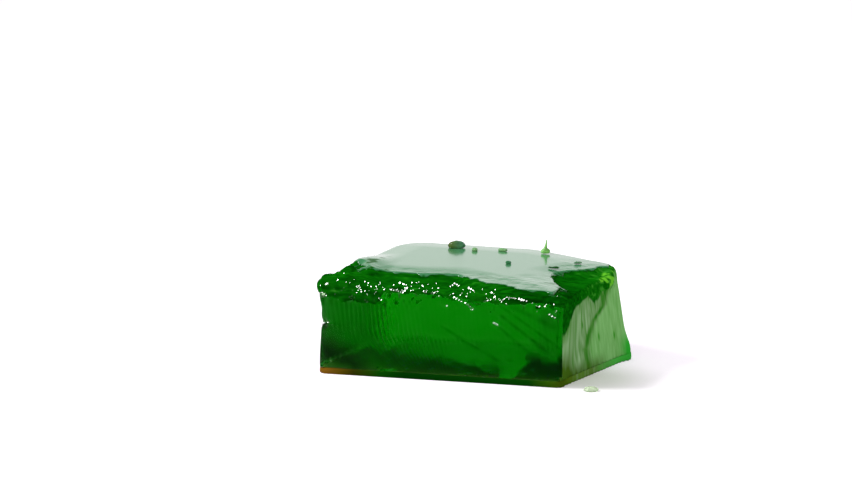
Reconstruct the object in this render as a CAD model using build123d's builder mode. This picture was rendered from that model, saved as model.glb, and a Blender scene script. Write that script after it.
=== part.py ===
from build123d import *
import os
from math import cos, radians, sin

# A block of set green jelly, cut by hand from a tray and stood on its foot.
#
# The gel set in two pours: a thin amber one, which is the block's foot, and the deep green one over it.
# The air dried a skin on the set surface. That surface is flat, but not quite level. The knife made
# five cuts, each leaning a little, and took two strokes for the right one, which meet in a shallow
# valley. It tore the skin away along the front and the right, with some of the gel under it. Rolls and
# shreds of gel still cling to the rim there, and crumbs lie on the skin and beside the block.
#
# The origin is the middle of the foot. +X runs to the right along the front cut, +Y runs to the
# rear and +Z is up. Lengths are in millimetres and angles in degrees.

# ---------------------------------------------------------------- driving dimensions

# The foot's corners: how far along the front cut each one is, and how far behind it. The right side
# splays out by so much from the front corner to the rear one.
front_length = 54.0
right_splay = 9.65
rear_right_back = 33.4
rear_middle_along = 41.15
rear_middle_back = 45.8
rear_left_along = 7.35
rear_left_back = 46.6

# How far each cut leans in over the height of the block.
front_lean = 0.55
left_lean = 0.17
rear_lean = 1.7
rear_right_lean = 2.25
right_lean = 2.9

# The right cut. An upright stroke starts at the front right corner and runs inwards, until a leaning
# stroke takes over: at the rim that far along the right side, and at the foot near the corner.
stroke_change_share = 0.6
leaning_stroke_inset = 0.5
valley_radius = 8.0

# Upright edges, where one cut meets the next.
front_left_radius = 1.6
front_right_radius = 1.8
rear_right_radius = 4.6
rear_middle_radius = 9.0
rear_left_radius = 8.0

# Heights and layers.
block_height = 21.0
rise_to_rear = 1.76
fall_to_right = 0.83
amber_thickness = 1.4
skin_thickness = 0.5
shoulder_radius = 1.2  # the slumped edge between the set surface and the cuts
torn_depth = 0.7  # how much gel came away with the skin

# The nick that the knife's tip left in the upright edge at the front left.
nick_height = 11.4
nick_radius = 0.9
nick_depth = 0.5

# Where the skin tore, from the left round to the right: shares of the way across the top from the
# left, and of the way back from the front.
torn_edge = [
    (-0.10, 0.46),
    (0.015, 0.40),
    (0.075, 0.33),
    (0.125, 0.245),
    (0.24, 0.265),
    (0.33, 0.27),
    (0.46, 0.325),
    (0.49, 0.31),
    (0.545, 0.232),
    (0.625, 0.135),
    (0.70, 0.115),
    (0.79, 0.055),
    (0.94, 0.055),
    (0.945, 0.14),
    (0.925, 0.245),
    (0.833, 0.468),
    (0.81, 0.578),
    (0.842, 0.667),
    (0.90, 0.74),
    (0.935, 0.83),
    (0.938, 0.895),
    (1.10, 0.96),
]

# Torn gel has uneven sections: the reach of each corner, as a share of an oval's.
corner_reach = (1.0, 0.90, 0.98, 0.86, 0.97, 1.0, 0.88, 0.96)

# Torn gel that clings to the rim. Each piece runs along one side of the rim, through such sections:
# the section's share of the way along that side and then, in thicknesses of torn gel, how far its
# middle stands out from the cut and hangs below the rim, and its half width and half height.
tear_thickness = 2.0
front_tears = {
    "rim_roll_left": [
        (-0.012, -1.20, 1.25, 0.30, 0.40),
        (0.025, -0.65, 0.85, 1.15, 1.25),
        (0.120, -0.50, 0.85, 1.20, 1.50),
        (0.240, -0.10, 1.90, 0.25, 0.40),
    ],
    "rim_roll_middle": [
        (0.262, -0.45, 0.50, 0.30, 0.30),
        (0.385, -0.20, 0.50, 0.60, 0.55),
        (0.520, -0.35, 0.55, 0.30, 0.30),
    ],
    "rim_shred_drooping": [
        (0.548, -0.50, 0.40, 0.30, 0.30),
        (0.585, -0.20, 0.75, 0.50, 0.55),
        (0.645, -0.05, 1.70, 0.30, 0.45),
        (0.668, -0.05, 2.05, 0.20, 0.25),
    ],
    "rim_welt_right": [
        (0.682, -0.10, 1.35, 0.20, 0.20),
        (0.730, -0.15, 0.85, 0.40, 0.35),
        (0.830, -0.15, 0.85, 0.40, 0.35),
        (0.890, -0.05, 1.20, 0.25, 0.25),
    ],
}
right_tears = {
    "rim_bead_right": [
        (0.710, -0.60, 1.20, 0.35, 0.40),
        (0.760, -0.50, 1.15, 0.80, 0.95),
        (0.870, -0.50, 1.15, 0.85, 1.05),
        (0.925, -0.75, 1.20, 0.35, 0.40),
    ],
}
left_tears = {
    "rim_chip_left_rear": [
        (0.605, -0.85, 0.15, 0.20, 0.15),
        (0.622, -0.80, 0.10, 0.45, 0.25),
        (0.645, -0.85, 0.15, 0.25, 0.15),
    ],
    "rim_chip_left_front": [
        (0.708, -0.95, 0.15, 0.20, 0.20),
        (0.738, -0.90, 0.10, 0.55, 0.35),
        (0.768, -0.90, 0.15, 0.25, 0.20),
    ],
}

# Crumbs on the skin: shares of the way across and back, length, width, height and turn.
skin_crumbs = {
    "crumb_rear_large": (0.273, 0.92, 4.4, 2.6, 1.6, 15),
    "crumb_rear_small_left": (0.368, 0.892, 1.7, 1.5, 0.8, 40),
    "crumb_rear_small_right": (0.474, 0.965, 2.4, 1.5, 0.7, -10),
    "crumb_middle": (0.592, 0.663, 1.5, 1.3, 0.7, 5),
    "flake_front_right": (0.790, 0.665, 3.0, 1.3, 0.4, -5),
    "flake_right": (0.845, 0.860, 2.2, 1.3, 0.5, 30),
}
spiked_crumb = (0.649, 1.040, 2.5, 2.2, 1.2, 25)

# The hair of gel that the spiked crumb pulled up as it tore off.
spike_length = 3.2
spike_root_radius = 0.45
spike_tip_radius = 0.15
spike_lean = 6.0

# The crumb that fell beside the block, from the foot's front right corner.
loose_crumb_right = 6.3
loose_crumb_forward = 0.6
loose_crumb_length = 3.5
loose_crumb_width = 3.0
loose_crumb_height = 0.9
loose_crumb_turn = 20

# A crumb is an irregular lump that its seat cuts flat: its sections' level, girth and turn, from just
# under the seat up to the crown.
crumb_sections = [
    (-0.15, 0.80, 0),
    (0.40, 1.00, 8),
    (0.80, 0.78, 16),
    (1.0, 0.42, 24),
]

# ---------------------------------------------------------------- corners, planes and points

rear_right_along = front_length + right_splay
middle_along = max(front_length, rear_right_along) / 2
middle_back = max(rear_middle_back, rear_left_back) / 2


def at_foot(along, back):
    """A point of the foot, by how far along the front cut it is and how far behind it."""
    return Vector(along - middle_along, back - middle_back, 0)


foot_front_left = at_foot(0, 0)
foot_front_right = at_foot(front_length, 0)
foot_rear_right = at_foot(rear_right_along, rear_right_back)
foot_rear_middle = at_foot(rear_middle_along, rear_middle_back)
foot_rear_left = at_foot(rear_left_along, rear_left_back)

set_surface = Plane.XY.offset(block_height).rotated((rise_to_rear, fall_to_right, 0))
skin_surface = set_surface.offset(skin_thickness)


def outward_from(start, end):
    """The level direction out of the block, on the side that runs from start to end, seen anticlockwise."""
    along = (end - start).normalized()
    return Vector(along.Y, -along.X, 0)


def knife_cut(start, end, lean):
    """The plane of a cut along the foot from start to end, which faces outwards and leans in."""
    outward = outward_from(start, end)
    normal = outward + Vector(0, 0, lean / block_height)
    return Plane(origin=start, x_dir=end - start, z_dir=normal)


def where_cuts_meet(first_cut, second_cut, height):
    """The point of the edge between two cuts at a height."""
    return Plane.XY.offset(height).intersect(first_cut.intersect(second_cut))


front_cut = knife_cut(foot_front_left, foot_front_right, front_lean)
rear_right_cut = knife_cut(foot_rear_right, foot_rear_middle, rear_right_lean)
rear_cut = knife_cut(foot_rear_middle, foot_rear_left, rear_lean)
left_cut = knife_cut(foot_rear_left, foot_front_left, left_lean)

right_outward = outward_from(foot_front_right, foot_rear_right)
leaning_start = foot_front_right - right_outward * leaning_stroke_inset
leaning_stroke = knife_cut(leaning_start, foot_rear_right, right_lean)
stroke_change = leaning_start + (foot_rear_right - leaning_start) * stroke_change_share
stroke_change -= right_outward * right_lean
upright_stroke = knife_cut(foot_front_right, stroke_change, 0)

upright_edges = [
    (left_cut, front_cut, front_left_radius),
    (front_cut, upright_stroke, front_right_radius),
    (upright_stroke, leaning_stroke, valley_radius),
    (leaning_stroke, rear_right_cut, rear_right_radius),
    (rear_right_cut, rear_cut, rear_middle_radius),
    (rear_cut, left_cut, rear_left_radius),
]

rim_front_left = where_cuts_meet(left_cut, front_cut, block_height)
rim_front_right = where_cuts_meet(front_cut, upright_stroke, block_height)
rim_rear_right = where_cuts_meet(leaning_stroke, rear_right_cut, block_height)
rim_rear_left = where_cuts_meet(rear_cut, left_cut, block_height)


def above(point, surface):
    """The point of a nearly level plane that lies straight above or below the given point."""
    drop = (point - surface.origin).dot(surface.z_dir) / surface.z_dir.Z
    return point - Vector(0, 0, drop)


def on_top(across, back):
    """The point that lies those shares of the way across the top from the left, and back from the front."""
    front = rim_front_left + (rim_front_right - rim_front_left) * across
    rear = rim_rear_left + (rim_rear_right - rim_rear_left) * across
    return front + (rear - front) * back


# ---------------------------------------------------------------- kinds of torn gel


def uneven_oval(half_width, half_height, turn=0):
    """The corners of a section through torn gel."""
    step = 360 / len(corner_reach)
    return [
        (
            half_width * reach * cos(radians(turn + step * place)),
            half_height * reach * sin(radians(turn + step * place)),
        )
        for place, reach in enumerate(corner_reach)
    ]


def torn_run(sections, start, end):
    """Torn gel that clings to the rim between two of its corners, and fits the body and the skin."""
    along = (end - start).normalized()
    outward = Vector(along.Y, -along.X, 0)
    with BuildPart() as run:
        for share, proud, hang, half_width, half_height in sections:
            station = start + (end - start) * share + outward * proud * tear_thickness
            middle = above(station, set_surface) - Vector(0, 0, hang * tear_thickness)
            section = uneven_oval(half_width * tear_thickness, half_height * tear_thickness)
            with BuildSketch(Plane(origin=middle, x_dir=outward, z_dir=along)):
                with BuildLine():
                    Polyline(*section, close=True)
                make_face()
        loft(ruled=True)
        add(green_body.part, mode=Mode.SUBTRACT)
        add(top_skin.part, mode=Mode.SUBTRACT)
    return run


def crumb(seat, length, width, height):
    """An irregular lump of gel that sits on the given plane."""
    with BuildPart() as lump:
        for level, girth, turn in crumb_sections:
            section = uneven_oval(length / 2 * girth, width / 2 * girth, turn)
            with BuildSketch(seat.offset(height * level)):
                with BuildLine():
                    Polyline(*section, close=True)
                make_face()
        loft(ruled=True)
        split(bisect_by=seat, keep=Keep.TOP)
    return lump


def skin_seat(across, back, turn):
    """The plane on the skin that a crumb sits on."""
    place = above(on_top(across, back), skin_surface)
    length_dir = skin_surface.x_dir.rotate(Axis(place, skin_surface.z_dir), turn)
    return Plane(origin=place, x_dir=length_dir, z_dir=skin_surface.z_dir)


os.makedirs("parts", exist_ok=True)


def save(piece, name):
    """Labels a finished piece and writes it as a file of its own."""
    piece.part.label = name
    export_step(piece.part, f"parts/{name}.step")


# ---------------------------------------------------------------- the block's three layers

# The knife's cuts through a slab of gel that is higher than the block.
with BuildPart() as four_cuts:
    Box(
        rear_right_along * 2,
        rear_left_back * 2,
        block_height * 1.5,
        align=(Align.CENTER, Align.CENTER, Align.MIN),
    )
    for cut in (front_cut, rear_right_cut, rear_cut, left_cut):
        split(bisect_by=cut, keep=Keep.BOTTOM)

# What both strokes of the right cut leave outside goes.
with BuildPart() as right_offcut:
    add(four_cuts.part)
    split(bisect_by=upright_stroke, keep=Keep.TOP)
    split(bisect_by=leaning_stroke, keep=Keep.TOP)

with BuildPart() as slab:
    add(four_cuts.part)
    add(right_offcut.part, mode=Mode.SUBTRACT)
    for first_cut, second_cut, radius in upright_edges:
        middle = where_cuts_meet(first_cut, second_cut, block_height / 2)
        fillet(slab.edges().sort_by_distance(middle)[0], radius)

with BuildPart() as amber_foot:
    add(slab.part)
    split(bisect_by=Plane.XY.offset(amber_thickness), keep=Keep.BOTTOM)
save(amber_foot, "amber_foot")

# The gel that came away with the skin: all above its floor that lies outside the tear.
with BuildPart() as torn_away:
    with BuildSketch(Plane.XY.offset(block_height / 2)):
        with BuildLine():
            tear = Polyline(*[(on_top(*share).X, on_top(*share).Y) for share in torn_edge])
            Polyline(
                tear @ 1,
                (front_length, (tear @ 1).Y),
                (front_length, -rear_left_back),
                (-front_length, -rear_left_back),
                (-front_length, (tear @ 0).Y),
                tear @ 0,
            )
        make_face()
    extrude(amount=block_height)
    split(bisect_by=set_surface.offset(-torn_depth), keep=Keep.TOP)

with BuildPart() as green_body:
    add(slab.part)
    split(bisect_by=Plane.XY.offset(amber_thickness), keep=Keep.TOP)
    split(bisect_by=set_surface, keep=Keep.BOTTOM)
    fillet(green_body.faces().sort_by(Axis.Z)[-1].edges(), shoulder_radius)
    flat_of_top = green_body.faces().filter_by(GeomType.PLANE).sort_by(Axis.Z)[-1]
    add(torn_away.part, mode=Mode.SUBTRACT)
    nick_corner = where_cuts_meet(left_cut, front_cut, nick_height)
    nick_outward = Vector(nick_corner.X, nick_corner.Y, 0).normalized()
    with Locations(nick_corner + nick_outward * (nick_radius - nick_depth)):
        Sphere(nick_radius, mode=Mode.SUBTRACT)
save(green_body, "green_body")

# The skin covers the flat of the top, up to the tear.
with BuildPart() as top_skin:
    extrude(flat_of_top, amount=skin_thickness)
    add(torn_away.part, mode=Mode.SUBTRACT)
save(top_skin, "top_skin")

# ---------------------------------------------------------------- torn gel on the rim

for name, sections in front_tears.items():
    save(torn_run(sections, rim_front_left, rim_front_right), name)
for name, sections in right_tears.items():
    save(torn_run(sections, rim_front_right, rim_rear_right), name)
for name, sections in left_tears.items():
    save(torn_run(sections, rim_rear_left, rim_front_left), name)

# ---------------------------------------------------------------- crumbs

for name, (across, back, length, width, height, turn) in skin_crumbs.items():
    save(crumb(skin_seat(across, back, turn), length, width, height), name)

with BuildPart() as crumb_rear_spiked:
    across, back, length, width, height, turn = spiked_crumb
    seat = skin_seat(across, back, turn)
    add(crumb(seat, length, width, height).part)
    with Locations(seat.offset(height / 2).rotated((0, spike_lean, 0))):
        Cone(
            spike_root_radius,
            spike_tip_radius,
            spike_length,
            align=(Align.CENTER, Align.CENTER, Align.MIN),
        )
save(crumb_rear_spiked, "crumb_rear_spiked")

loose_seat = Plane.XY.rotated((0, 0, loose_crumb_turn))
loose_seat.origin = foot_front_right + Vector(loose_crumb_right, -loose_crumb_forward, 0)
save(crumb(loose_seat, loose_crumb_length, loose_crumb_width, loose_crumb_height), "loose_crumb")
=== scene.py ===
"""A hand-cut block of green jelly: its looks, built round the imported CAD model.

Blender's own lengths are in metres. Points, fields and sizes are in millimetres: x runs across the
front to the right, y goes back, and z goes up.
"""

import math

import bmesh
import bpy
import numpy as np
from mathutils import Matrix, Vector, noise
from mathutils.bvhtree import BVHTree
from mathutils.kdtree import KDTree


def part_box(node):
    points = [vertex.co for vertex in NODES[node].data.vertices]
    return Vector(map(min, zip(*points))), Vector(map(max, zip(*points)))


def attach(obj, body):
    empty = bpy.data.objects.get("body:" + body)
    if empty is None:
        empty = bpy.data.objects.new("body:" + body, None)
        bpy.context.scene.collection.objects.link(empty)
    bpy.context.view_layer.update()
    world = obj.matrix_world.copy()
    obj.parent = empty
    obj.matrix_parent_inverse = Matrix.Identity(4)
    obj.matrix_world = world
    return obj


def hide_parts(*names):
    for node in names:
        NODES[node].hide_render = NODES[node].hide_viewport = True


MM = 0.001
SEED_STRIDE = 17.3  # how far apart in the noise two seeds are

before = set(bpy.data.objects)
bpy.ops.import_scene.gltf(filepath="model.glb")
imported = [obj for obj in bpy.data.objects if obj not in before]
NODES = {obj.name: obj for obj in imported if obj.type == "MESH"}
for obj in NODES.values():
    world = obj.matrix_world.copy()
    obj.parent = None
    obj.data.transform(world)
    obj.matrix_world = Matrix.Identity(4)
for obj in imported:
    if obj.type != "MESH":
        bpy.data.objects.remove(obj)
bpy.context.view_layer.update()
scene = bpy.context.scene

RIM_NODES = [
    "rim_roll_left",
    "rim_roll_middle",
    "rim_shred_drooping",
    "rim_welt_right",
    "rim_bead_right",
    "rim_chip_left_rear",
    "rim_chip_left_front",
]

# Where the camera stands and the way it looks, and where the lamp stands, in metres.
CAMERA_PLACE = Vector((0.11938, -0.5029, 0.11867))
CAMERA_AIM = Vector((-0.25212, 0.95179, -0.17475))
KEY_PLACE = Vector((-0.50, -0.10, 0.50))
KEY_SIZE = 0.16
KEY_POWER = 3.5  # watts

# How fine the remeshed pieces are, in metres.
BODY_VOXEL = 0.5 * MM
FOOT_VOXEL = 0.42 * MM
CRUMB_VOXEL = 0.12 * MM

OUTLINE_PITCH = 0.2  # between the points along the CAD skin's outline
SKIN_PITCH = 0.25  # between the points of the set skin
SKIN_MARGIN = 2  # how far past its CAD box the set skin may reach
SKIN_DROP = 1.2  # how far below the flat top it may lie
SEAT_GAP = 0.04  # between the block and the skin, so that their faces stay apart

FOOT_EDGE = 0.3  # points of the block this near the foot are level with its top
SCALE_LENGTH = 1.8  # of the scales on the torn ground
RIM_RISE = 1.2  # how much higher the left end of the rim stands
RIPPLE_PITCH = 1.02  # from one knife ripple to the next
NICK_HEIGHT = 11.2
NICK_SIZE = 0.8  # its depth and its radius
REAR_BULGE = 32  # how far along the right side the foot and the block above it bulge

GEL_IOR = 1.4
SKIN_COAT_IOR = 1.5
WET_COAT_IOR = 1.8
WET_COAT_ROUGHNESS = 0.04


# ---------------------------------------------------------------- fields over points


def points_of(mesh):
    co = np.empty(len(mesh.vertices) * 3)
    mesh.vertices.foreach_get("co", co)
    return co.reshape(-1, 3) / MM


def normals_of(mesh):
    normal = np.empty(len(mesh.vertices) * 3)
    mesh.vertices.foreach_get("normal", normal)
    return normal.reshape(-1, 3)


def move_points(mesh, points):
    mesh.vertices.foreach_set("co", (points * MM).ravel())
    mesh.update()


def set_field(mesh, name, values):
    """Keeps one number for each point, for the material to read."""
    attribute = mesh.attributes.new(name, "FLOAT", "POINT")
    attribute.data.foreach_set("value", np.asarray(values, np.float32))


def set_colours(mesh, colours):
    """Keeps one colour for each point, for the material to read."""
    colours = np.c_[np.clip(colours, 0, 1), np.ones(len(colours))].astype(np.float32)
    attribute = mesh.attributes.new("gel_colour", "FLOAT_COLOR", "POINT")
    attribute.data.foreach_set("color", colours.ravel())


def colours_along(values, *stops):
    """A colour for each value, through stops of a value and a colour each."""
    places = [place for place, _ in stops]
    parts = zip(*(colour for _, colour in stops))
    return np.stack([np.interp(values, places, part) for part in parts], axis=1)


def blended(first, second, share):
    """Colours between the first and the second, by each point's share of the second."""
    return first * (1 - share[:, None]) + np.array(second) * share[:, None]


def ramp(value, low, high):
    """Smoothly from 0 at low to 1 at high, and the other way round where low is above high."""
    share = np.clip((value - low) / (high - low), 0, 1)
    return share * share * (3 - 2 * share)


def bump(*parts):
    """1 in the middle of a smooth bump, 0 far away: each part is how far off, and the width."""
    return np.exp(-sum((away / width) ** 2 for away, width in parts))


def lumps(points, size, seed):
    """Smooth noise from about -1 to 1; size is its lumps' size, or their sizes along x, y and z."""
    scaled = points / np.broadcast_to(size, 3) + seed * SEED_STRIDE
    return np.array([noise.noise(Vector(p)) for p in scaled])


# ---------------------------------------------------------------- meshes


def new_object(name, data):
    made = bpy.data.objects.new(name, data)
    scene.collection.objects.link(made)
    return made


def evaluated_mesh(made):
    depsgraph = bpy.context.evaluated_depsgraph_get()
    return bpy.data.meshes.new_from_object(made.evaluated_get(depsgraph))


def remeshed(name, nodes, voxel):
    """One even mesh round the CAD nodes named."""
    joined = bmesh.new()
    for node in nodes:
        joined.from_mesh(NODES[node].data)
    mesh = bpy.data.meshes.new(name)
    joined.to_mesh(mesh)
    joined.free()
    made = new_object(name, mesh)
    even = made.modifiers.new("even", "REMESH")
    even.mode = "VOXEL"
    even.voxel_size = voxel
    made.data = evaluated_mesh(made)
    made.modifiers.clear()
    return made


def split_edges(mesh, face_chosen, edge_chosen=lambda run: True):
    """Halves the chosen edges of the chosen faces.

    A face is chosen by its middle and its normal, and an edge by the way it runs.
    """
    fine = bmesh.new()
    fine.from_mesh(mesh)
    edges = set()
    for face in fine.faces:
        if face_chosen(face.calc_center_median() / MM, face.normal):
            edges.update(face.edges)
    edges = [edge for edge in edges if edge_chosen(edge.verts[1].co - edge.verts[0].co)]
    bmesh.ops.subdivide_edges(fine, edges=edges, cuts=1, use_grid_fill=True)
    fine.to_mesh(mesh)
    fine.free()


def relax(mesh, weight, rounds):
    """Smooths the points by their weight."""
    points = points_of(mesh)
    ends = np.empty(len(mesh.edges) * 2, int)
    mesh.edges.foreach_get("vertices", ends)
    first, second = ends.reshape(-1, 2).T
    count = np.bincount(ends, minlength=len(points))[:, None]
    for _ in range(rounds):
        total = np.zeros_like(points)
        np.add.at(total, first, points[second])
        np.add.at(total, second, points[first])
        points += (total / count - points) * weight[:, None]
    move_points(mesh, points)


def faces_of(mesh):
    """A tree of the mesh's faces, for rays to meet."""
    return BVHTree.FromPolygons(
        [vert.co for vert in mesh.vertices], [face.vertices for face in mesh.polygons]
    )


def straight_down(faces, x, y):
    """Where a ray straight down at x and y meets the faces, in metres, or None."""
    return faces.ray_cast(Vector((x * MM, y * MM, 1)), Vector((0, 0, -1)))[0]


def finish_piece(made, material, slot, *nodes):
    made.data.materials.clear()
    made.data.materials.append(material)
    made.data.shade_smooth()
    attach(made, "root")
    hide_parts(*nodes)


# ---------------------------------------------------------------- materials


def new_material(name):
    material = bpy.data.materials.new(name)
    material.use_nodes = True
    material.node_tree.nodes.clear()
    return material, material.node_tree.nodes, material.node_tree.links


def ray_kinds(nodes, links):
    """Two sockets: 1 for a ray from the camera, and 1 for one that gel mirrored or let through."""
    path = nodes.new("ShaderNodeLightPath")
    by_gel = nodes.new("ShaderNodeMath")
    by_gel.operation = "MAXIMUM"
    links.new(path.outputs["Is Glossy Ray"], by_gel.inputs[0])
    links.new(path.outputs["Is Transmission Ray"], by_gel.inputs[1])
    return path.outputs["Is Camera Ray"], by_gel.outputs[0]


def mixed(nodes, links, factor, first, second):
    """One colour or the other, by the factor's socket; each is a socket or a plain colour."""
    mix = nodes.new("ShaderNodeMix")
    mix.data_type = "RGBA"
    links.new(factor, mix.inputs["Factor"])
    for name, colour in (("A", first), ("B", second)):
        socket = [s for s in mix.inputs if s.name == name and s.type == "RGBA"][0]
        if isinstance(colour, tuple):
            socket.default_value = (*colour, 1)
        else:
            links.new(colour, socket)
    return [s for s in mix.outputs if s.type == "RGBA"][0]


def absorb(nodes, links, output, loss):
    """Takes off light by its way inside: loss is what each colour loses in a millimetre."""
    inside = nodes.new("ShaderNodeVolumeAbsorption")
    density = max(loss)
    inside.inputs["Color"].default_value = (*(1 - rate / density for rate in loss), 1)
    inside.inputs["Density"].default_value = density / MM
    links.new(inside.outputs[0], output.inputs["Volume"])


def field(nodes, name, kind="Fac"):
    """The mesh's own number for each point, or with the kind "Color" its own colour."""
    node = nodes.new("ShaderNodeAttribute")
    node.attribute_name = name
    return node.outputs[kind]


def colour_ramp(nodes, links, factor, stops):
    """A colour by the factor's socket, through stops of a position and a colour each."""
    ramp_node = nodes.new("ShaderNodeValToRGB")
    elements = ramp_node.color_ramp.elements
    while len(elements) < len(stops):
        elements.new(0.5)
    for element, (position, colour) in zip(elements, stops):
        element.position = position
        element.color = (*colour, 1)
    links.new(factor, ramp_node.inputs[0])
    return ramp_node.outputs[0]


def gel_surface(nodes, links, roughness, coat_ior=GEL_IOR):
    """A plain gel surface on a new output; returns both."""
    output = nodes.new("ShaderNodeOutputMaterial")
    surface = nodes.new("ShaderNodeBsdfPrincipled")
    surface.inputs["IOR"].default_value = GEL_IOR
    surface.inputs["Roughness"].default_value = roughness
    surface.inputs["Coat IOR"].default_value = coat_ior
    links.new(surface.outputs[0], output.inputs["Surface"])
    return output, surface


def body_gel():
    """Clear wet gel. Fields say where it is rough, where shade is painted on it and what is wet."""
    material, nodes, links = new_material("green_gel")
    output, surface = gel_surface(nodes, links, 0.1, WET_COAT_IOR)
    surface.inputs["Transmission Weight"].default_value = 1
    surface.inputs["Specular Tint"].default_value = (0.08, 0.08, 0.08, 1)
    surface.inputs["Coat Roughness"].default_value = WET_COAT_ROUGHNESS
    links.new(field(nodes, "wet"), surface.inputs["Coat Weight"])
    links.new(field(nodes, "rough"), surface.inputs["Roughness"])
    # Painted shade: the shade field darkens the gel from white down to near black.
    stops = [(0.0, (0.0, 0.02, 0.0)), (1.0, (1, 1, 1))]
    links.new(colour_ramp(nodes, links, field(nodes, "shade"), stops), surface.inputs["Base Color"])
    absorb(nodes, links, output, (0.17, 0.040, 0.21))
    return material


def dull_gel(name):
    """Gel that, but for its wet glints, hardly mirrors and lets no light through."""
    material, nodes, links = new_material(name)
    _, surface = gel_surface(nodes, links, 0.5, WET_COAT_IOR)
    surface.inputs["Specular IOR Level"].default_value = 0.0
    surface.inputs["Coat Roughness"].default_value = WET_COAT_ROUGHNESS
    links.new(field(nodes, "wet"), surface.inputs["Coat Weight"])
    links.new(field(nodes, "gel_colour", "Color"), surface.inputs["Base Color"])
    return material


def skin_gel():
    """The set surface: milky below, and as glossy as water. Its torn edge is bare."""
    material, nodes, links = new_material("skin_gel")
    _, surface = gel_surface(nodes, links, 0.2, SKIN_COAT_IOR)
    surface.inputs["Specular IOR Level"].default_value = 0.1
    surface.inputs["Coat Roughness"].default_value = 0.14
    stops = [(0.0, (0.06, 0.24, 0.10)), (0.6, (0.01, 0.14, 0.02)), (1.0, (0.003, 0.10, 0.003))]
    links.new(colour_ramp(nodes, links, field(nodes, "bare"), stops), surface.inputs["Base Color"])
    film = nodes.new("ShaderNodeMath")
    film.operation = "SUBTRACT"
    film.inputs[0].default_value = 1
    links.new(field(nodes, "bare"), film.inputs[1])
    links.new(film.outputs[0], surface.inputs["Coat Weight"])
    return material


def crumb_gel(name, left, right):
    """Cloudy gel of a crumb, from one colour at its left end to another at its right."""
    material, nodes, links = new_material(name)
    output, surface = gel_surface(nodes, links, 0.25)
    surface.inputs["Transmission Weight"].default_value = 0.45
    surface.inputs["Specular Tint"].default_value = (0.4, 0.4, 0.4, 1)
    colour = mixed(nodes, links, field(nodes, "along"), left, right)
    links.new(colour, surface.inputs["Base Color"])
    absorb(nodes, links, output, (0.15, 0.03, 0.2))
    return material


# ---------------------------------------------------------------- the set skin's outline


def skin_outline():
    """The CAD skin: a tree of points along its lower outline, one of its faces, and its plane."""
    solid = bmesh.new()
    solid.from_mesh(NODES["top_skin"].data)
    bmesh.ops.remove_doubles(solid, verts=solid.verts, dist=1e-6)
    solid.normal_update()
    rim = []
    for edge in solid.edges:
        if len(edge.link_faces) != 2:
            continue
        downward = [face.normal.z < -0.9 for face in edge.link_faces]
        if downward[0] != downward[1]:
            start, end = (vert.co / MM for vert in edge.verts)
            steps = max(1, int((end - start).length / OUTLINE_PITCH))
            rim += [start.lerp(end, step / steps) for step in range(steps)]
    tree = KDTree(len(rim))
    for index, point in enumerate(rim):
        tree.insert((point.x, point.y, 0), index)
    tree.balance()
    lower_faces = [face for face in solid.faces if face.normal.z < -0.9]
    under = np.array([vert.co / MM for face in lower_faces for vert in face.verts])
    across_and_back = np.c_[np.ones(len(under)), under[:, :2]]
    plane = np.linalg.lstsq(across_and_back, under[:, 2], rcond=None)[0]
    faces = BVHTree.FromBMesh(solid)
    solid.free()
    return tree, faces, plane


RIM_TREE, SKIN_FACES, TOP_PLANE = skin_outline()


def top_height(points):
    """The height of the flat top at each point."""
    return TOP_PLANE[0] + points[:, 0] * TOP_PLANE[1] + points[:, 1] * TOP_PLANE[2]


def past_skin(points):
    """How far each point lies outside the skin's outline, in plan; less than 0 inside it."""
    away = np.empty(len(points))
    for index, (across, back, _) in enumerate(points):
        distance = RIM_TREE.find((across, back, 0))[2]
        away[index] = distance if straight_down(SKIN_FACES, across, back) is None else -distance
    return away


def torn_side(across, back):
    """1 where the skin tore away: along the front, and at the right up to the rear corner."""
    return np.maximum(ramp(back, -6, -12), ramp(across, 12, 18) * ramp(back, 12, 8))


# ---------------------------------------------------------------- the right side

# The right side runs from the foot's front right corner to its rear right one.
foot_corners = points_of(NODES["amber_foot"].data)
right_start = foot_corners[np.argmax(foot_corners[:, 0] - 2 * foot_corners[:, 1])]
right_end = foot_corners[np.argmax(foot_corners[:, 0] * 2 + foot_corners[:, 1])]
right_run = (right_end - right_start)[:2]


def along_right(points):
    """How far each point is along the right side from the front."""
    return (points - right_start)[:, :2] @ right_run / np.linalg.norm(right_run)


def inside_right(points):
    """How far each point is inside the right side."""
    run = right_run / np.linalg.norm(right_run)
    return (points - right_start)[:, :2] @ np.array((-run[1], run[0]))


# ---------------------------------------------------------------- the green block and its torn rim

body = remeshed("jelly_block", ["green_body", *RIM_NODES], BODY_VOXEL)
split_edges(
    body.data,
    lambda place, normal: normal.y < -0.3 or (place.y < -15 and place.z > 17),
)
split_edges(
    body.data,
    lambda place, normal: normal.x > 0.5 and (abs(normal.z) < 0.7 or place.z > 17),
)
# Where the knife ripples run, the edges across them are halved once more.
split_edges(
    body.data,
    lambda place, normal: normal.y < -0.7 and 2.2 < place.z < 5 - place.x and place.x < -3,
    lambda run: abs(run.x) > abs(run.z),
)

# The joints of the rim's solids along the front are smoothed away.
points = points_of(body.data)
relax(body.data, 0.5 * ramp(points[:, 1], -14, -20) * ramp(points[:, 2], 14, 17), 8)

points = points_of(body.data)
normals = normals_of(body.data)
foot_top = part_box("green_body")[0].z / MM
points[points[:, 2] < foot_top + FOOT_EDGE, 2] = foot_top
across, back, up = points.T.copy()
along = along_right(points)
torn = torn_side(across, back)
# How far past the skin's outline each point near the top lies.
near_top = up > 14
past = np.zeros(len(points))
past[near_top] = past_skin(points[near_top])

# How far each point faces the front, the right and the rear.
front = ramp(-normals[:, 1], 0.6, 0.95) * ramp(up, 19, 15)
right = ramp(normals[:, 0], 0.6, 0.9)
rear = ramp(normals[:, 1], 0.05, 0.4)

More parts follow.
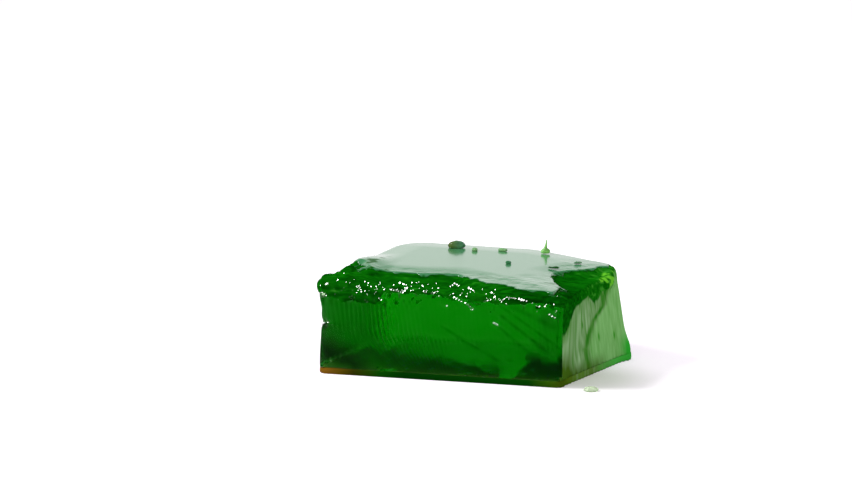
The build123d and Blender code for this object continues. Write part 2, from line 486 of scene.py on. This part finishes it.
# The torn ground outside the skin lies lower, and its scales slope forwards.
ground_weight = torn * ramp(past, 0.2, 3.0) * ramp(up, 15, 18.5)
points[:, 2] -= 0.7 * ground_weight * (1 - 0.6 * ramp(back, -20.3, -22.3))
scale_run = (back + 1.2 * lumps(points, (5, 5, 5), 4)) / SCALE_LENGTH
scales = (scale_run % 1) - 0.5
points[:, 2] += 0.35 * scales * torn * ramp(past, 0.2, 1.0) * ramp(normals[:, 2], 0.6, 0.9)

# The rim is lumpy, most so at its lip and least so at the left. The left side bulges at the foot
# and under the roll.
rim_weight = torn * ramp(up, 14.5, 17.5) * ramp(past, 0.2, 1.5)
lip = ramp(back, -18.5, -21.5)
calm = 1 - 0.6 * ramp(across, -21, -25)
moves = rim_weight * (0.30 + 0.25 * lip) * lumps(points, 2.8, 1)
moves += rim_weight * (0.10 + 0.20 * lip) * calm * lumps(points, 1.1, 2)
left_bulge = 0.25 + 0.3 * ramp(up, 12, 3) + 0.4 * ramp(up, 14, 17) * ramp(back, -8, -14)
moves += left_bulge * ramp(-normals[:, 0], 0.5, 0.8)

# The left end of the rim stands highest.
points[:, 2] += RIM_RISE * ramp(across, -19, -26) * ramp(back, 6, -6) * ramp(up, 15, 19)

# Knife ripples down the front, hooked to the right at their lower ends.
hook = 0.06 * np.clip(11 - up, 0, None) ** 2 * ramp(across, 4, -14)
phase = (across + 0.12 * up - hook + 0.5 * lumps(points, (6, 6, 12), 5)) / RIPPLE_PITCH
strength = 0.011 + 0.024 * ramp(across + 1.6 * up, 10, 5) * ramp(across + up, -15, -10)
strength += 0.008 * lumps(points, (7, 7, 7), 6)
moves += front * strength * np.sin(2 * math.pi * phase)
moves += front * 0.10 * lumps(points, (9, 9, 6), 3)


def beside_line(points, start, end, width):
    """1 on a line down the front from start to end, each given by x and z, and 0 away from it."""
    start, end = np.array(start), np.array(end)
    run = end - start
    length = np.linalg.norm(run)
    offset = points[:, [0, 2]] - start
    passed = offset @ run / length
    beside = (offset[:, 0] * run[1] - offset[:, 1] * run[0]) / length
    line = bump((beside, width)) * ramp(passed, -1.0, 1.5)
    return line * ramp(passed, length + 1.5, length - 1.5)


# Where the blade slipped: the line's ends by x and z, its width, its depth and how dark its painted
# shade is.
SLIPS = [
    ((8.0, 15.5), (19.0, 7.6), 0.45, 0.025, 0.80),
    ((6.5, 18.5), (21.5, 8.6), 0.35, 0.02, 0.65),
    ((7.0, 13.4), (15.5, 7.0), 0.45, 0.02, 0.55),
    ((10.0, 17.5), (20.5, 13.0), 0.70, 0.02, 0.60),
    ((-4.5, 12.0), (9.0, 4.8), 0.35, 0.03, 0.60),
]
# Painted shade along each slip line.
slip_shade = np.zeros(len(points))
for start, end, width, depth, dark in SLIPS:
    line = beside_line(points, start, end, width) * (0.75 + 0.5 * lumps(points, 1.6, 23))
    moves -= front * depth * line
    slip_shade = np.maximum(slip_shade, dark * line)

# Streaks down the right side, the bulge above the foot's rear corner, and the uneven rear.
streaks = lumps(points, (1.0, 1.0, 10), 7)
fine_streaks = lumps(points, (0.45, 0.45, 6), 8)
moves += right * (0.05 * streaks + 0.015 * fine_streaks)
rear_foot = bump((along - REAR_BULGE, 2.5), (up - 2.5, 3.0))
moves += np.clip(normals[:, 0], 0, 1) * 0.8 * rear_foot
moves += rear * 0.15 * lumps(points, (3, 3, 8), 9)

# The nick in the upright edge at the front left.
nick_aside = np.hypot(across - across[front > 0.5].min(), back - back.min() - 1.2)
nick_away = np.hypot(up - NICK_HEIGHT, 0.6 * nick_aside)
moves -= NICK_SIZE * bump((nick_away, NICK_SIZE))

points += normals * moves[:, None]
move_points(body.data, points)

# What each point's gel is like: first, how far down the front, the right and the left it is torn.
normals = normals_of(body.data)
front_limit = np.interp(
    across,
    [-32, -30, -26, -19, -17, -5, 3, 8, 16, 21],
    [18, 16.8, 15.9, 16, 18.8, 19, 18, 17.2, 18.2, 17.6],
)
right_limit = np.interp(
    along,
    [0, 2, 4.4, 6.2, 8.5, 10.5, 16.3, 17.9, 19.4, 21.6, 23.9, 26, 28.2, 30],
    [10.5, 11.5, 12.8, 14.4, 16.1, 16.6, 17.4, 16.0, 14.6, 15.6, 17.0, 17.7, 18.7, 20.0],
)
left_limit = np.interp(back, [-23, -18, -12, -7, -3], [17.0, 17.8, 19.2, 20.8, 23])
limit = np.where(normals[:, 0] < -0.5, left_limit, front_limit)
limit = np.where(right > 0.4, right_limit, limit)
limit += 0.5 * lumps(points, (1.6, 1.6, 1.6), 15)
above_limit = up - limit
lip_gel = torn * ramp(above_limit, -0.4, 0.4) * np.where(right > 0.4, 1, ramp(past, 0, 0.5))
# The right cut takes in its own lower edge.
lower_edge = (inside_right(points) < 1.0) & (up < foot_top + 0.9) & (normals[:, 1] > -0.8)
right_cut = np.maximum(right, lower_edge)

# The torn gel: dark scales, painted shade in the crease under the overhang, painted lime highlights
# on the bead.
ground = 0.45 + 0.35 * lumps(points, (4.0, 0.9, 0.9), 17) + 0.3 * lumps(points, (1.5, 0.4, 0.4), 18)
ground -= 0.22 * ramp(across, 6, 12) * ramp(back, -8, -14)
ground += right * (0.15 + 0.15 * ramp(along, 15, 24))
ground += 0.3 * ramp(back, -2, 7) * ramp(across, 12, 18)
torn_colours = colours_along(
    ground,
    (0.0, (0.0005, 0.035, 0.0005)),
    (0.35, (0.001, 0.085, 0.001)),
    (0.7, (0.004, 0.15, 0.002)),
    (1.0, (0.04, 0.28, 0.02)),
)
# Painted shade in the crease under the overhang at the left end.
crease_shade = bump((above_limit - 0.1, 0.5)) * ramp(np.abs(across + 22), 5.0, 3.5)
torn_colours = blended(torn_colours, (0.0005, 0.012, 0.0005), 0.8 * crease_shade)
bead_low, bead_high = (np.array(corner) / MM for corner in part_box("rim_bead_right"))
on_bead = np.all((points > bead_low - 0.3) & (points < bead_high + 0.3), axis=1)
# Painted highlights: lime patches on the bead.
bead_highlight = on_bead * ramp(lumps(points, (1.1, 1.1, 0.9), 24), 0.05, 0.3)
torn_colours = blended(torn_colours, (0.16, 0.62, 0.03), 0.8 * bead_highlight)

# The right side: a pale streaky film, partly its own milky cut and partly painted sheen, with the
# valley of its two strokes, browner near the foot.
valley_along = np.interp(
    up,
    [2.4, 6, 8.6, 11.4, 13.6, 17, 20],
    [13.6, 13, 15.1, 18.2, 23.1, 25, 26],
)
valley = bump((along - valley_along, 1.2))
smooth_part = ramp(along - valley_along, 0.5, 3)
# Whitish streaks, partly the film's own and partly painted sheen.
pale_and_sheen = 0.70 + (0.32 - 0.20 * smooth_part) * streaks + (0.34 - 0.20 * smooth_part) * fine_streaks
pale_and_sheen -= 0.65 * valley * np.clip(0.8 + 0.6 * streaks, 0, 1)
pale_and_sheen -= 0.5 * ramp(above_limit, -3.5, 0) * ramp(streaks + 0.6 * fine_streaks, -0.1, 0.35)
for spot_along, spot_up in [(12.9, 11.2), (19.6, 7.4), (26.7, 6.5)]:
    pale_and_sheen -= 0.5 * bump((along - spot_along, 0.35), (up - spot_up, 0.8))
right_colours = colours_along(
    pale_and_sheen,
    (0.0, (0.006, 0.18, 0.003)),
    (0.35, (0.07, 0.25, 0.035)),
    (0.7, (0.20, 0.37, 0.15)),
    (1.0, (0.31, 0.52, 0.26)),
)
right_colours *= 1 + smooth_part[:, None] * np.array((0.0, 0.28, -0.05))
brown = ramp(up, 9.0, 3.5) * ramp(along, 9, 3) + 0.9 * ramp(up, 4.5, 1.4) * ramp(along, 24, 17)
brown = np.clip(brown * (0.8 + 0.4 * streaks), 0, 1)
right_colours = blended(right_colours, (0.055, 0.13, 0.008), brown)
right_colours = blended(right_colours, (0.03, 0.42, 0.03), np.clip(1.3 * rear_foot, 0, 1))

# The clear gel: how rough it is, and painted shade where ripples, slips and corners look darker.
rear_corner = rear * ramp(-normals[:, 0], 0.1, 0.4)
under = ramp(-normals[:, 2], 0.7, 0.95)
rough = 0.03 + front * 0.17 + rear * 0.40 + rear_corner * 0.5 + under * 0.12 * ramp(back, 0, -18)
ripple = 0.5 + 0.5 * np.sin(2 * math.pi * phase)
# Painted shade along the knife ripples, deeper where they run strongest.
shade = 1 - front * (0.05 + 11 * np.clip(strength - 0.012, 0, 1)) * ripple
# Painted shade along the slip lines.
shade *= 1 - front * slip_shade
# Painted shade low in the left corner of the front.
corner_shade_line = np.interp(across, [-32, -26, -20, -16], [5.5, 3.6, 1.2, 0])
shade *= 1 - 0.93 * front * ramp(across, -17, -24) * bump((up - corner_shade_line, 3.0))
# Painted shade near the upper right edge of the front.
shade *= 1 - 0.4 * front * ramp(across, 16.0, 19.0) * ramp(up, 11, 16)
# Painted shade on the rounded upright edge at the front left.
shade *= 1 - 0.7 * ramp(-normals[:, 0], 0.15, 0.5) * ramp(-normals[:, 1], 0.15, 0.5)

set_field(body.data, "rough", np.clip(rough, 0, 1))
set_field(body.data, "shade", np.clip(shade, 0, 1))
set_colours(body.data, blended(torn_colours, right_colours, right_cut * (1 - lip_gel)))
finish_piece(body, body_gel(), "green_gel", "green_body", *RIM_NODES)

# The torn gel and the right side are dull.
body.data.materials.append(dull_gel("torn_gel"))
on_ground = (torn > 0.03) & (past > -2.6) & (up > 15)
dull_points = (lip_gel > 0.5) | (right_cut > 0.35)
for face in body.data.polygons:
    corners = list(face.vertices)
    if (face.normal.z > 0.35 and on_ground[corners].all()) or dull_points[corners].all():
        face.material_index = 1

# ---------------------------------------------------------------- wet glints

FRONT_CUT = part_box("green_body")[0].y / MM + 0.4  # y of the plane that the glints are placed on
STROKE_PITCH = 1.9  # from one glint of a stroke to the next, in radii
SMALL_GLINT_RADII = (0.08, 0.19)

# The larger glints are strokes: x and z of the start and of the end, and the radius.
GLINTS = [
    (-30.0, 19.9, -29.5, 19.7, 0.40),
    (-31.4, 19.5, -31.2, 19.3, 0.22),
    (-27.5, 20.9, -27.4, 20.8, 0.18),
    (-31.0, 17.9, -30.2, 17.4, 0.25),
    (-24.8, 20.5, -24.6, 20.3, 0.20),
    (-22.7, 19.8, -22.2, 18.6, 0.20),
    (-24.5, 16.7, -24.4, 16.6, 0.36),
    (-20.0, 19.8, -19.8, 19.7, 0.26),
    (-18.3, 20.4, -18.2, 20.3, 0.18),
    (-21.4, 16.8, -20.9, 16.4, 0.20),
    (-15.4, 19.4, -12.9, 18.9, 0.26),
    (-12.9, 18.9, -12.0, 19.9, 0.22),
    (-13.6, 20.9, -12.8, 20.7, 0.32),
    (-10.9, 21.1, -9.5, 21.2, 0.20),
    (-8.3, 19.4, -7.8, 19.2, 0.24),
    (-6.5, 19.0, -5.2, 19.5, 0.18),
    (-5.0, 20.3, -4.8, 20.4, 0.22),
    (-2.4, 20.7, -1.5, 21.4, 0.26),
    (-1.0, 21.2, -0.6, 21.0, 0.20),
    (1.6, 20.7, 2.6, 20.1, 0.24),
    (-1.6, 18.4, 0.0, 17.6, 0.24),
    (0.9, 17.3, 1.4, 16.9, 0.24),
    (1.9, 16.5, 2.4, 16.0, 0.26),
    (6.7, 19.8, 7.3, 19.0, 0.28),
    (5.2, 17.9, 6.4, 18.3, 0.24),
    (8.7, 18.1, 9.9, 19.0, 0.12),
    (9.9, 19.0, 12.6, 18.8, 0.13),
    (12.6, 18.8, 14.2, 18.4, 0.24),
    (9.8, 17.6, 9.9, 17.5, 0.16),
    (17.0, 17.4, 17.1, 17.3, 0.20),
    (20.1, 18.0, 20.2, 17.9, 0.18),
    (19.2, 15.8, 20.3, 15.1, 0.26),
    (7.2, 13.3, 7.9, 12.9, 0.18),
    (-30.7, 11.3, -29.8, 11.4, 0.16),
]

# Small glints are scattered over the rim: the left and right ends, the mean height, how far the
# heights spread, and how many.
SMALL_GLINTS = [
    (-29, -17, 18.8, 1.5, 40),
    (-18, -4, 20.0, 0.7, 36),
    (-4, 8, 18.8, 1.3, 22),
    (8, 21, 17.4, 1.2, 14),
]


def glint_places():
    """Each glint's x and z on the front cut, as seen from the camera, and its radius."""
    places = []
    for across_start, up_start, across_end, up_end, radius in GLINTS:
        length = math.hypot(across_end - across_start, up_end - up_start)
        steps = int(length / (STROKE_PITCH * radius))
        for step in range(steps + 1):
            share = step / max(steps, 1)
            places.append((
                across_start + (across_end - across_start) * share,
                up_start + (up_end - up_start) * share,
                radius,
            ))
    random_draw = np.random.default_rng(5)
    for start, end, middle, spread, count in SMALL_GLINTS:
        for _ in range(count):
            places.append((
                random_draw.uniform(start, end),
                random_draw.normal(middle, spread),
                random_draw.uniform(*SMALL_GLINT_RADII),
            ))
    return places


def press_facets(mesh, places):
    """Cuts small flat wet facets into the mesh, each turned to throw the lamp's light forwards."""
    faces = faces_of(mesh)
    facets = []
    for across, up, radius in places:
        target = Vector((across, FRONT_CUT, up)) * MM
        hit = faces.ray_cast(CAMERA_PLACE, (target - CAMERA_PLACE).normalized())[0]
        if hit is not None:
            facets.append((hit, radius * MM))
    fine = bmesh.new()
    fine.from_mesh(mesh)
    for _ in range(3):
        fine.faces.ensure_lookup_table()
        middles = KDTree(len(fine.faces))
        for face in fine.faces:
            middles.insert(face.calc_center_median(), face.index)
        middles.balance()
        edges = set()
        for hit, radius in facets:
            for _, index, _ in middles.find_range(hit, 1.7 * radius + 0.1 * MM):
                for edge in fine.faces[index].edges:
                    if edge.calc_length() > 0.6 * radius:
                        edges.add(edge)
        bmesh.ops.subdivide_edges(fine, edges=list(edges), cuts=1, use_grid_fill=True)
    fine.to_mesh(mesh)
    fine.free()
    points = points_of(mesh)
    wet = np.zeros(len(points))
    for hit, radius in facets:
        to_lamp = (KEY_PLACE - hit).normalized()
        to_camera = (CAMERA_PLACE - hit).normalized()
        normal = np.array((to_lamp + to_camera).normalized())
        radius /= MM
        offset = points - np.array(hit) / MM
        distance = np.linalg.norm(offset, axis=1)
        flattened = (offset @ normal) * ramp(distance, radius * 1.7, radius * 1.1)
        points -= flattened[:, None] * normal
        wet = np.maximum(wet, ramp(distance, radius * 1.2, radius * 1.0))
    move_points(mesh, points)
    set_field(mesh, "wet", wet)
    for face in mesh.polygons:
        if wet[list(face.vertices)].min() > 0.5:
            face.material_index = 1


def sharpen_lower_edge(mesh):
    """Makes the edge between the block's sides and its underside a sharp one."""
    edged = bmesh.new()
    edged.from_mesh(mesh)
    for edge in edged.edges:
        low = max(vert.co.z for vert in edge.verts) < (foot_top + 0.05) * MM
        if low and len(edge.link_faces) == 2 and edge.calc_face_angle() > 0.6:
            edge.smooth = False
    edged.to_mesh(mesh)
    edged.free()


press_facets(body.data, glint_places())
sharpen_lower_edge(body.data)

# ---------------------------------------------------------------- the set skin, draped on the block


def film_over(grid):
    """How much skin there is at each point, none at 0 and below, and how far it is torn bare."""
    across, back = grid[:, 0], grid[:, 1]
    torn_here = torn_side(across, back)
    inward = -past_skin(grid)
    inward += (1 - torn_here) * 1.5
    ragged = 0.8 * lumps(grid, (2.2, 1.6, 1), 11) + 0.5 * lumps(grid, (0.9, 0.6, 1), 12)
    inward += torn_here * ragged
    inward -= 1.6 * ramp(np.abs(across - 6), 8, 4) * ramp(back, -6, -10)
    # Strands of film that still lie on the torn ground, at the left and at the right.
    strands = ramp(lumps(grid, (2.4, 0.45, 1), 19), 0.12, 0.3) * ramp(inward, -3.5, -1.0)
    strands *= np.maximum(ramp(across, -19, -23), ramp(across, 13, 15) * ramp(back, 4, -2))
    film = np.maximum(inward, 0.3 * strands)
    # It is bare along its edge, in smears, and in spots where chips came off at the left.
    edge = ramp(inward, 0.35, 0) * (1 - 0.8 * strands)
    smears = lumps(grid, (5.0, 0.9, 1), 20) + 0.4 * lumps(grid, (1.5, 0.5, 1), 21)
    smears = 0.7 * ramp(smears, 0.35, 0.55) * ramp(inward, 6, 1) * torn_here
    spots = ramp(lumps(grid, (1.6, 1.3, 1), 25), 0.15, 0.35) * ramp(across, -18, -21)
    spots = spots * ramp(inward, 7, 4) * ramp(back, 4, 0)
    return film, np.maximum(np.maximum(edge, smears), spots)


def even_outline(grid, used, shape):
    """Evens out the grid's corners along the skin's outline, and returns which ones they are."""
    whole = used.reshape(shape)
    cells = whole[:-1, :-1] & whole[1:, :-1] & whole[:-1, 1:] & whole[1:, 1:]
    around = np.pad(cells, 1).astype(float)
    cell_count = around[:-1, :-1] + around[1:, :-1] + around[:-1, 1:] + around[1:, 1:]
    outline = (cell_count > 0) & (cell_count < 4)
    plan = grid[:, :2].reshape(*shape, 2)
    for _ in range(6):
        total = np.zeros_like(plan)
        count = np.zeros(shape)
        for axis, step in ((0, 1), (0, -1), (1, 1), (1, -1)):
            beside = np.roll(outline, step, axis)
            total += np.roll(plan, step, axis) * beside[:, :, None]
            count += beside
        free = outline & (count > 1)
        plan[free] = 0.4 * plan[free] + 0.6 * total[free] / count[free][:, None]
    grid[:, :2] = plan.reshape(-1, 2)
    return np.flatnonzero(outline)


def skin_mesh(used, bare, below, top, shape):
    """A closed sheet between the two levels of points, over the cells whose corners are used."""
    sheet = bmesh.new()
    bare_layer = sheet.verts.layers.float.new("bare")
    low_verts, top_verts = {}, {}
    rows, columns = shape
    for row in range(rows - 1):
        for column in range(columns - 1):
            first = row * columns + column
            corners = [first, first + 1, first + columns + 1, first + columns]
            if not used[corners].all():
                continue
            for verts, level in ((low_verts, below), (top_verts, top)):
                for corner in corners:
                    if corner not in verts:
                        verts[corner] = sheet.verts.new(Vector(level[corner]) * MM)
                        verts[corner][bare_layer] = bare[corner]
            sheet.faces.new([top_verts[corner] for corner in corners])
            sheet.faces.new([low_verts[corner] for corner in reversed(corners)])
    partner = {top_verts[corner]: low_verts[corner] for corner in top_verts}
    for edge in [edge for edge in sheet.edges if len(edge.link_faces) == 1]:
        if edge.verts[0] in partner and edge.verts[1] in partner:
            loop = edge.link_loops[0]
            first, second = loop.vert, loop.link_loop_next.vert
            sheet.faces.new((second, first, partner[first], partner[second]))
    mesh = bpy.data.meshes.new("set_skin")
    sheet.to_mesh(mesh)
    sheet.free()
    return mesh


def drape_skin():
    """Lays the skin on the block, thicker away from its edge."""
    block = faces_of(body.data)

    def block_height(x, y):
        hit = straight_down(block, x, y)
        return hit.z / MM if hit else 0

    low, high = (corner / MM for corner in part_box("top_skin"))
    columns = np.arange(low.x - SKIN_MARGIN, high.x + SKIN_MARGIN, SKIN_PITCH)
    rows = np.arange(low.y - SKIN_MARGIN, high.y + SKIN_MARGIN, SKIN_PITCH)
    shape = (len(rows), len(columns))
    grid = np.array([(x, y, 0) for y in rows for x in columns])
    film, bare = film_over(grid)
    surface = np.array([block_height(x, y) for x, y, _ in grid])
    used = (film > 0) & (surface > top_height(grid) - SKIN_DROP)
    for corner in even_outline(grid, used, shape):
        surface[corner] = block_height(*grid[corner, :2])
    thick = 0.02 + 0.08 * ramp(film, 0, 0.5) + 0.36 * ramp(film, 0, 8)
    below = np.c_[grid[:, :2], surface + SEAT_GAP]
    top = np.c_[grid[:, :2], surface + SEAT_GAP + thick]
    skin = new_object("set_skin", skin_mesh(used, bare, below, top, shape))
    finish_piece(skin, skin_gel(), "skin_gel", "top_skin")


drape_skin()

# ---------------------------------------------------------------- the amber foot


def foot_colours(points, across, along, left, right, seat):
    """Amber at the left end, dark green along the front, paler down the right, partly as painted
    sheen, and light on top, partly as painted light that comes down through the block.
    """
    colours = colours_along(
        across,
        (-30, (0.21, 0.095, 0.008)),
        (-27, (0.11, 0.068, 0.003)),
        (-24, (0.033, 0.034, 0.001)),
        (-18, (0.003, 0.07, 0.001)),
        (-13, (0.001, 0.04, 0.001)),
        (15, (0.002, 0.055, 0.001)),
        (19, (0.028, 0.095, 0.002)),
        (22, (0.05, 0.09, 0.003)),
    )
    amber = left * ramp(lumps(points, 4, 26), -1.2, 0.3)
    colours = blended(colours, (0.19, 0.09, 0.006), amber)
    right_colours = colours_along(
        along + 0.8 * lumps(points, 2.5, 22),
        (0, (0.05, 0.09, 0.003)),
        (4, (0.075, 0.145, 0.006)),
        (9, (0.10, 0.22, 0.025)),
        (15, (0.09, 0.19, 0.03)),
        (20, (0.09, 0.34, 0.055)),
        (26, (0.07, 0.44, 0.06)),
        (31, (0.04, 0.42, 0.04)),
    )
    streaks = lumps(points, (1.0, 1.0, 10), 7) + 0.8 * lumps(points, (0.45, 0.45, 6), 8)
    # Paler streaks down the right, partly painted sheen as on the block's right side.
    paler_and_sheen = ramp(along, 5, 8) * ramp(along, 24, 17) * ramp(streaks, 0.0, 0.5)
    right_colours = blended(right_colours, (0.17, 0.30, 0.10), 0.7 * paler_and_sheen)
    colours = blended(colours, right_colours, right)
    # Painted light: the top, where the block sits, is a lighter green.
    return blended(colours, (0.16, 0.44, 0.06), seat)


def pour_foot():
    """The thin amber pour, which touches the block in places and turns green towards the right."""
    foot = remeshed("amber_layer", ["amber_foot"], FOOT_VOXEL)
    points = points_of(foot.data)
    normals = normals_of(foot.data)
    across, back, up = points.T.copy()
    along = along_right(points)
    right = ramp(normals[:, 0], 0.4, 0.7)
    left = ramp(-normals[:, 0], 0.4, 0.7)

    # It wets the block from the front back to a line, but for a dry wedge near the right end.
    wet_back = np.interp(
        across,
        [-31, -20, -10, -3, 5, 9.2, 9.8, 13.5, 16.5, 18],
        [9, 6, -2, -9, -11, -12, 10, 6, 0, -3],
    )
    touch = ramp(back - wet_back, 12, -12)
    touch *= 1 - ramp(np.abs(across - 9.6), 2.2, 1.3) * ramp(back, 4, 0)
    touch *= 1 - ramp(np.hypot(across + 17, (back + 21.5) * 1.3), 3.0, 1.6)
    touch += 0.5 * lumps(points, 2.2, 13) + 1.1 * lumps(points, 0.9, 14)
    seat = ramp(normals[:, 2], 0.9, 0.99)
    points[:, 2] += seat * np.clip(-0.12 + 0.24 * touch, -0.12, 0.12)
    points += normals * (right * 0.75 * bump((along - REAR_BULGE, 2.5)))[:, None]

    # On the right its upper edge closes up with the block's lower one.
    upper_edge = (up > foot_top - 0.4) * ramp(normals[:, 0], 0.3, 0.45)
    points[:, 2] += upper_edge * (foot_top + 0.1 - points[:, 2])
    outwards = 0.12 * (upper_edge * ramp(normals[:, 2], 0.2, 0.5))
    points[:, :2] += outwards[:, None] * normals[:, :2]

    # Its left end stands a little further out, and no point lies below the floor.
    points[:, 0] -= 0.5 * left
    points[:, 2] = np.maximum(points[:, 2], 0)
    move_points(foot.data, points)

    set_colours(foot.data, foot_colours(points, across, along, left, right, seat))
    set_field(foot.data, "wet", np.zeros(len(points)))
    finish_piece(foot, dull_gel("amber_gel"), "amber_gel", "amber_foot")


pour_foot()

# ---------------------------------------------------------------- crumbs

# The colours of each crumb's left end and of its right one.
PALE_GREEN = (0.32, 0.62, 0.28)
CRUMB_COLOURS = {
    "crumb_rear_large": ((0.14, 0.20, 0.02), (0.12, 0.36, 0.20)),
    "crumb_middle": ((0.06, 0.30, 0.12), (0.10, 0.36, 0.18)),
    "crumb_rear_spiked": ((0.45, 0.88, 0.30), (0.30, 0.70, 0.16)),
    "flake_front_right": ((0.01, 0.16, 0.03), (0.01, 0.13, 0.01)),
    "flake_right": ((0.14, 0.36, 0.18), (0.20, 0.42, 0.22)),
    "loose_crumb": ((0.85, 0.95, 0.72), (0.85, 0.95, 0.72)),
}


def make_crumb(number, node):
    """A lumpy crumb round its CAD node, flat where it is seated."""
    crumb = remeshed(node + "_gel", [node], CRUMB_VOXEL)
    relax(crumb.data, np.full(len(crumb.data.vertices), 0.4), 4)
    points = points_of(crumb.data)
    low, high = points.min(axis=0), points.max(axis=0)
    rise = ramp(points[:, 2], low[2], low[2] + 0.3)
    if node == "crumb_rear_spiked":
        # Its hair is a little shorter than the CAD's.
        points[:, 2] -= 0.22 * np.maximum(points[:, 2] - low[2] - 1, 0)
    uneven = rise * 0.16 * lumps(points, 0.9, 20 + number)
    points += normals_of(crumb.data) * uneven[:, None]
    move_points(crumb.data, points)
    set_field(crumb.data, "along", ramp(points[:, 0], low[0], high[0]))
    left, right = CRUMB_COLOURS.get(node, (PALE_GREEN, PALE_GREEN))
    finish_piece(crumb, crumb_gel(node + "_colour", left, right), "crumb_gel", node)


crumb_nodes = [name for name in NODES if name.startswith(("crumb", "flake", "loose"))]
for number, node in enumerate(crumb_nodes):
    make_crumb(number, node)

# ---------------------------------------------------------------- stage, light and camera

FLOOR_REACH = 4.0  # metres
# The floor's painted shadow is darkest at SHADE_CORE and fades out across SHADE_RADII.
SHADE_CORE = (0.027, -0.014, 0)  # metres: the floor at the foot's right side, where it is darkest
SHADE_RADII = (0.003, 0.020)  # metres


def stage_floor():
    """White paper, which glows a little for gel and for the camera. For the camera it glows less
    beside the block, as a painted shadow.
    """
    reach = FLOOR_REACH
    corners = [(-reach, -reach, 0), (reach, -reach, 0), (reach, reach, 0), (-reach, reach, 0)]
    mesh = bpy.data.meshes.new("floor")
    mesh.from_pydata(corners, [], [(0, 1, 2, 3)])
    floor = new_object("floor", mesh)
    material, nodes, links = new_material("floor_paper")
    output = nodes.new("ShaderNodeOutputMaterial")
    paper = nodes.new("ShaderNodeBsdfDiffuse")
    paper.inputs["Color"].default_value = (0.80, 0.80, 0.80, 1)
    place = nodes.new("ShaderNodeNewGeometry")
    away = nodes.new("ShaderNodeVectorMath")
    away.operation = "DISTANCE"
    away.inputs[1].default_value = SHADE_CORE
    links.new(place.outputs["Position"], away.inputs[0])
    share = nodes.new("ShaderNodeMapRange")
    share.interpolation_type = "SMOOTHSTEP"
    share.inputs["From Min"].default_value, share.inputs["From Max"].default_value = SHADE_RADII
    links.new(away.outputs["Value"], share.inputs["Value"])
    # Painted shadow: the camera's glow is dimmer near the foot's right side.
    camera_glow_with_shadow = mixed(nodes, links, share.outputs["Result"], (0.10, 0.10, 0.08), (0.44, 0.38, 0.45))
    by_camera, by_gel = ray_kinds(nodes, links)
    seen = mixed(nodes, links, by_camera, (0.0, 0.0, 0.0), camera_glow_with_shadow)
    glow = nodes.new("ShaderNodeEmission")
    links.new(mixed(nodes, links, by_gel, seen, (0.3, 0.3, 0.3)), glow.inputs["Color"])
    both = nodes.new("ShaderNodeAddShader")
    links.new(paper.outputs[0], both.inputs[0])
    links.new(glow.outputs[0], both.inputs[1])
    links.new(both.outputs[0], output.inputs["Surface"])
    mesh.materials.append(material)


def studio_world():
    """White for the camera, pale for light, and for gel white below and dark overhead."""
    world = bpy.data.worlds.new("studio")
    scene.world = world
    world.use_nodes = True
    nodes, links = world.node_tree.nodes, world.node_tree.links
    nodes.clear()
    output = nodes.new("ShaderNodeOutputWorld")
    light = nodes.new("ShaderNodeBackground")
    place = nodes.new("ShaderNodeTexCoord")
    split = nodes.new("ShaderNodeSeparateXYZ")
    links.new(place.outputs["Generated"], split.inputs[0])
    stops = [(0.36, (1, 1, 1)), (0.62, (0.02, 0.02, 0.02))]
    mirrored = colour_ramp(nodes, links, split.outputs["Z"], stops)
    by_camera, by_gel = ray_kinds(nodes, links)
    plain = mixed(nodes, links, by_camera, (0.75, 0.75, 0.75), (1.0, 1.0, 1.0))
    links.new(mixed(nodes, links, by_gel, plain, mirrored), light.inputs["Color"])
    links.new(light.outputs[0], output.inputs["Surface"])


def stand(name, data, place, aim):
    """A new lamp or camera that stands at a place and looks along the aim."""
    made = new_object(name, data)
    made.location = place
    made.rotation_euler = aim.to_track_quat("-Z", "Y").to_euler()
    return made


stage_floor()
studio_world()

key_data = bpy.data.lights.new("key", "AREA")
key_data.size = KEY_SIZE
key_data.energy = KEY_POWER
stand("key", key_data, KEY_PLACE, -KEY_PLACE)

camera_data = bpy.data.cameras.new("camera")
camera_data.lens = 100
camera_data.sensor_width = 36
camera_data.clip_start = 0.01
scene.camera = stand("camera", camera_data, CAMERA_PLACE, CAMERA_AIM)

scene.view_settings.view_transform = "Standard"
scene.cycles.use_denoising = True
scene.cycles.max_bounces = 16
scene.cycles.transmission_bounces = 16
scene.cycles.glossy_bounces = 8
